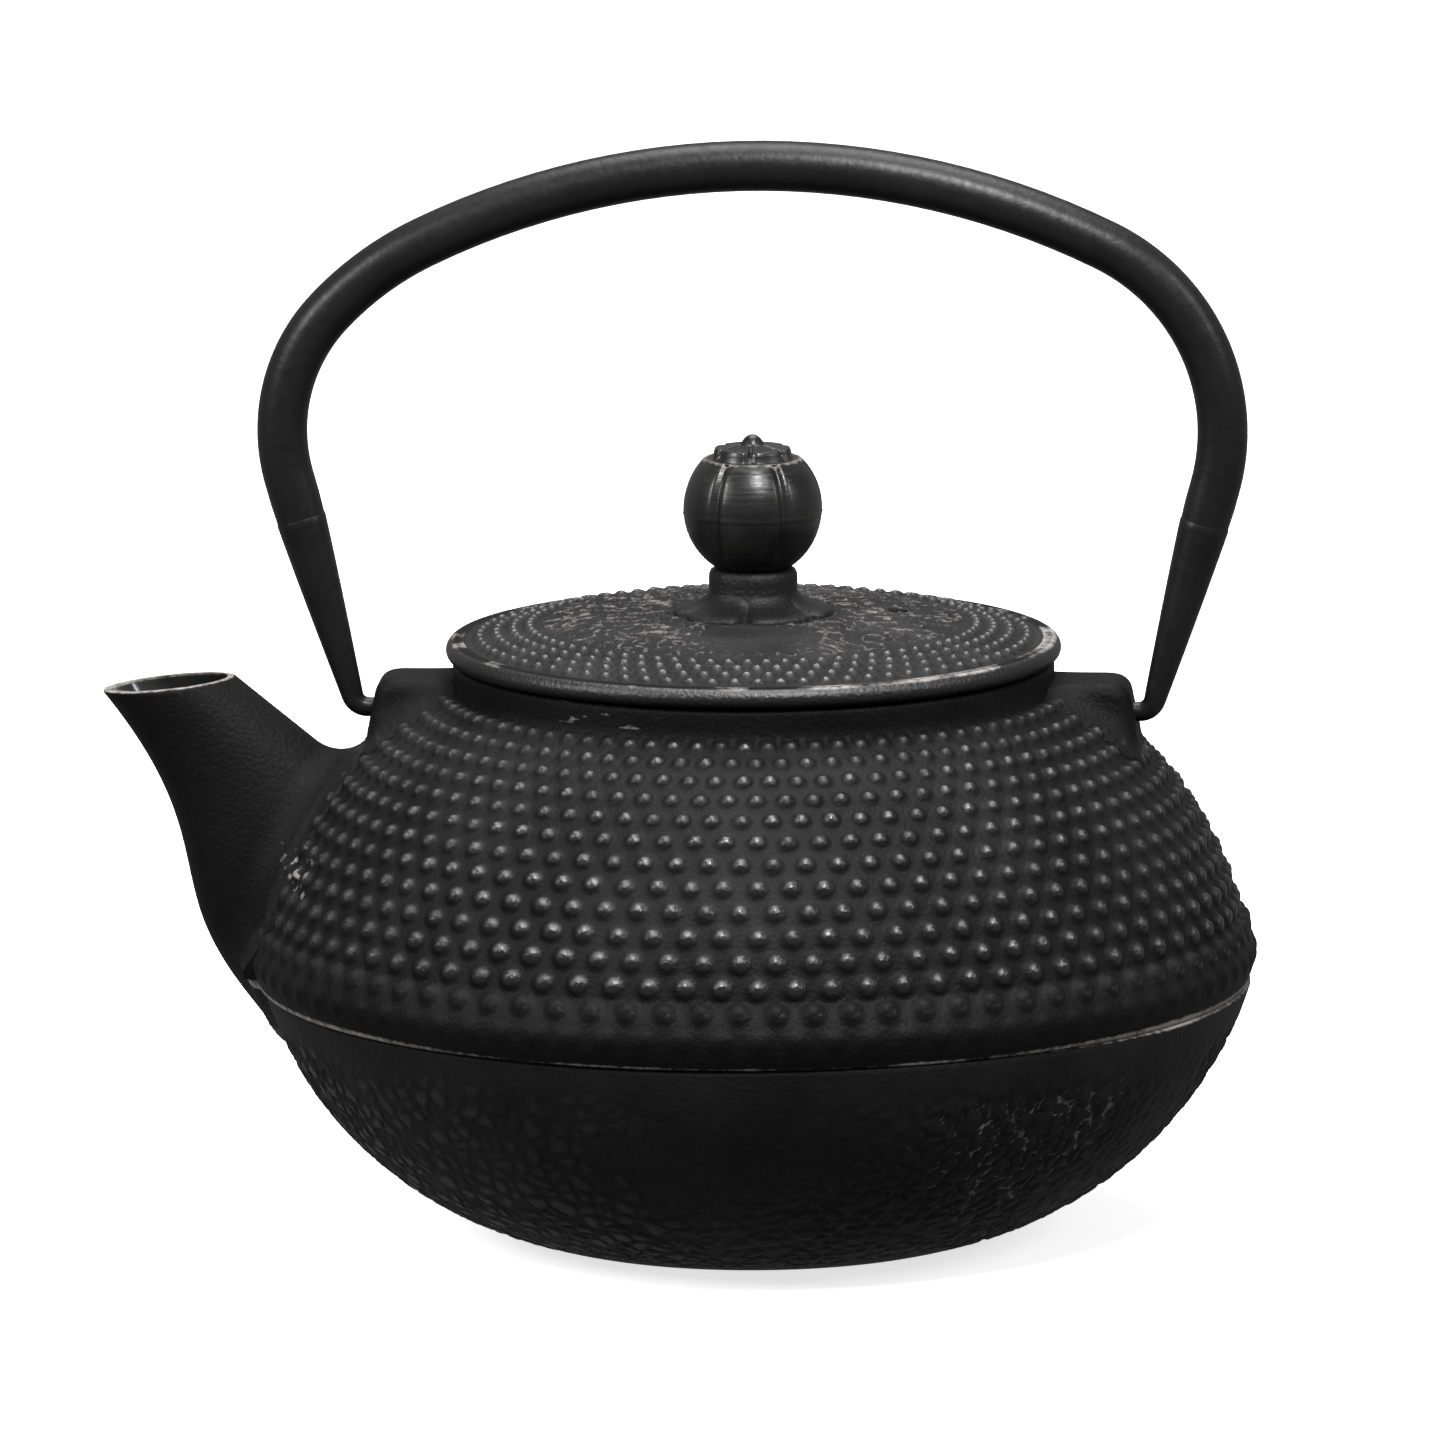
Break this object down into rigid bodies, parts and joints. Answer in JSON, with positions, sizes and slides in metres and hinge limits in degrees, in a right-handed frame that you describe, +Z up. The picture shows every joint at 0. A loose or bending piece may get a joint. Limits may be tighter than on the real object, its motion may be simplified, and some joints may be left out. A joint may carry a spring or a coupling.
{
  "type": "cast iron teapot",
  "caption": "Round cast iron teapot with a hobnail shoulder, curved spout, swinging bail handle, lift-off knobbed lid and hanging mesh infuser.",
  "frame": {"origin": "centre of the flat face the pot rests on", "axes": "+Z up; the spout points to -X; +Y is to the back when the spout is on the left"},
  "size_m": [0.184, 0.1602, 0.1747],
  "materials": {
    "cast_iron": "matt black cast skin with fine grain, worn lighter along raised edges",
    "polished_iron": "smooth satin black, fine turning marks",
    "black_paint": "satin black paint with faint orange peel",
    "enamel": "opaque glossy black vitreous enamel",
    "steel": "pressed stainless steel, satin",
    "steel_mesh": "fine stainless steel mesh"
  },
  "bodies": {
    "pot": {"body": "cast_iron", "enamel_lining": "enamel"},
    "handle": {"handle_tube": "black_paint", "handle_end_spout_side": "black_paint", "handle_end_back": "black_paint"},
    "infuser": {"infuser_rim": "steel", "infuser_wall": "steel_mesh", "infuser_hoop": "steel", "infuser_floor": "steel_mesh"},
    "lid_unit": {"lid": "cast_iron", "knob_seat": "cast_iron", "knob": "polished_iron", "knob_screw": "steel", "knob_washer": "steel"}
  },
  "joints": [
    {"name": "handle_swing", "type": "hinge", "parent": "pot", "child": "handle", "pos_m": [0, 0, 0.0836], "axis": [1, 0, 0], "range_deg": [-108, 108]},
    {"name": "infuser_lift", "type": "slide", "parent": "pot", "child": "infuser", "axis": [0, 0, 1], "range_m": [0, 0.0365]},
    {"name": "lid_lift", "type": "slide", "parent": "infuser", "child": "lid_unit", "axis": [0, 0, 1], "range_m": [0, 0.0365]}
  ]
}
